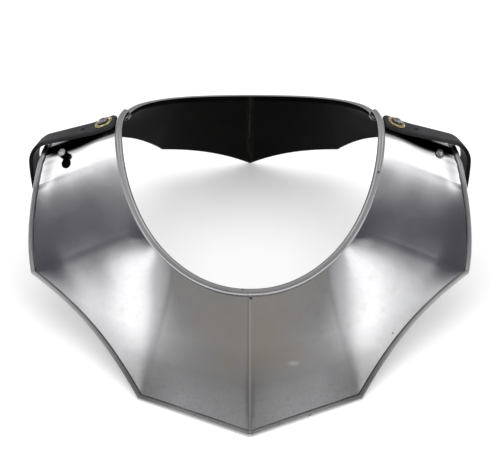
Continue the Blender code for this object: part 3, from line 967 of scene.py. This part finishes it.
PIECES = (
    Piece(front, "front_plate", "polished_steel"),
    Piece(back, "back_plate", "black_backed_steel"),
    Piece(left_strap, "strap_left", "black_leather"),
    Piece(right_strap, "strap_right", "black_leather"),
    Piece(left_eyelet, "washer_left", "brass"),
    Piece(right_eyelet, "washer_right", "brass"),
    Piece(left_rivet, "strap_rivet_left", "polished_steel"),
    Piece(right_rivet, "strap_rivet_right", "polished_steel"),
    Piece(stud, "locking_stud", "polished_steel"),
    Piece(pivot, "pivot_rivet", "polished_steel"),
)
for piece in PIECES:
    place_on_model(piece.thing, shift)
    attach(piece.thing, "root")
    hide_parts(piece.node)


# Floor, light and camera

FLOOR_SIZE = 12
FLOOR_GLOW = 0.34


def floor():
    bpy.ops.mesh.primitive_plane_add(size=FLOOR_SIZE, location=(0, 0, 0))
    plane = bpy.context.object
    plane.name = "floor"
    made, tree, shader = node_material("pale_floor")
    tone = noise(tree, stretched(tree), 3, 2)
    colour = mix_colour(tree, tone, (0.90, 0.90, 0.90), (0.93, 0.93, 0.93))
    tree.links.new(colour, shader.inputs["Base Color"])
    shader.inputs["Roughness"].default_value = 0.9
    shader.inputs["Specular IOR Level"].default_value = 0.1
    shader.inputs["Emission Color"].default_value = (1, 1, 1, 1)
    shader.inputs["Emission Strength"].default_value = FLOOR_GLOW
    plane.data.materials.append(made)


LIGHT_SIZE = 2.4
LIGHT_POWER = 30
LIGHT_PLACE = (0, 0.3, 2.2)


def light():
    """A large soft light overhead, which the polished steel doesn't mirror."""
    data = bpy.data.lights.new("overhead", "AREA")
    data.size = LIGHT_SIZE
    data.energy = LIGHT_POWER
    made = bpy.data.objects.new("overhead", data)
    made.location = LIGHT_PLACE
    made.visible_glossy = False
    bpy.context.scene.collection.objects.link(made)


# What the steel mirrors in each direction of length 1: the room ahead by distance to either side, the colour
# low down and the heights between which it fades out, and the room behind by height
Band = namedtuple("Band", "place red green blue")
ROOM = (
    Band(0.0, 0.345, 0.335, 0.325),
    Band(0.12, 0.33, 0.32, 0.31),
    Band(0.17, 0.325, 0.315, 0.31),
    Band(0.25, 0.315, 0.31, 0.31),
    Band(0.30, 0.35, 0.35, 0.35),
    Band(0.36, 0.48, 0.48, 0.485),
    Band(0.50, 0.68, 0.68, 0.69),
    Band(0.62, 0.80, 0.80, 0.81),
)
LOW = (0.085, 0.085, 0.10)
LOW_TO = (0.46, 0.60)
REAR_FROM = (0.15, 0.5)
REAR = (
    Band(0.0, 0.17, 0.17, 0.175),
    Band(0.30, 0.30, 0.30, 0.305),
    Band(0.60, 0.48, 0.48, 0.48),
    Band(1.0, 0.40, 0.40, 0.40),
)

# The flat soft box along each side: its lower, upper, front and rear ends, as shares of its distance
# sideways. It fades in from start to full at each end.
End = namedtuple("End", "start full")
LOWER = End(0.75, 0.91)
UPPER = End(1.16, 0.99)
FORWARD = End(1.30, 0.95)
BACKWARD = End(0.66, 0.50)
BOX = (2.0, 2.0, 2.01)


def banded(tree, value, bands):
    colours = tree.nodes.new("ShaderNodeValToRGB")
    colours.color_ramp.interpolation = "EASE"
    while len(colours.color_ramp.elements) < len(bands):
        colours.color_ramp.elements.new(0.5)
    for element, band in zip(colours.color_ramp.elements, bands):
        element.position = band.place
        element.color = (band.red, band.green, band.blue, 1)
    tree.links.new(value, colours.inputs["Fac"])
    return colours.outputs["Color"]


def eased(tree, value, end):
    node = tree.nodes.new("ShaderNodeMapRange")
    node.interpolation_type = "SMOOTHSTEP"
    rising = end.start < end.full
    node.inputs["From Min"].default_value = min(end)
    node.inputs["From Max"].default_value = max(end)
    node.inputs["To Min"].default_value = 0.0 if rising else 1.0
    node.inputs["To Max"].default_value = 1.0 if rising else 0.0
    tree.links.new(value, node.inputs["Value"])
    return node.outputs["Result"]


def surroundings():
    """A dim studio with a long flat soft box along each side."""
    world = bpy.data.worlds.new("studio")
    bpy.context.scene.world = world
    world.use_nodes = True
    tree = world.node_tree
    background = tree.nodes["Background"]
    place = tree.nodes.new("ShaderNodeTexCoord").outputs["Generated"]
    split = tree.nodes.new("ShaderNodeSeparateXYZ")
    tree.links.new(place, split.inputs["Vector"])
    x, y, z = split.outputs["X"], split.outputs["Y"], split.outputs["Z"]
    sideways = math_node(tree, "ABSOLUTE", x)
    rise = math_node(tree, "DIVIDE", z, sideways)
    behind = math_node(tree, "DIVIDE", y, sideways)
    ahead = math_node(tree, "MULTIPLY", behind, -1)
    box = eased(tree, rise, LOWER)
    for value, end in ((rise, UPPER), (ahead, FORWARD), (behind, BACKWARD)):
        box = math_node(tree, "MULTIPLY", box, eased(tree, value, end))
    rear = ramp(tree, y, *REAR_FROM, 0, 1)
    ahead_room = mix_colour(tree, ramp(tree, z, *LOW_TO, 0, 1), LOW, banded(tree, sideways, ROOM))
    room = mix_colour(tree, rear, ahead_room, banded(tree, z, REAR))
    tree.links.new(mix_colour(tree, box, room, BOX), background.inputs["Color"])


CAMERA_FROM = (0.0, -0.9395, 0.8936)
CAMERA_ELEVATION = 42.74
CAMERA_PIXELS = 1701
IMAGE_WIDTH = 500


def camera():
    data = bpy.data.cameras.new("camera")
    data.sensor_width = 36
    data.lens = CAMERA_PIXELS * data.sensor_width / IMAGE_WIDTH
    data.clip_start = 0.05
    made = bpy.data.objects.new("camera", data)
    made.location = Vector(CAMERA_FROM) + shift
    made.rotation_euler = (math.radians(90 - CAMERA_ELEVATION), 0, 0)
    bpy.context.scene.collection.objects.link(made)
    bpy.context.scene.camera = made


floor()
light()
surroundings()
camera()
bpy.context.scene.view_settings.view_transform = "Standard"
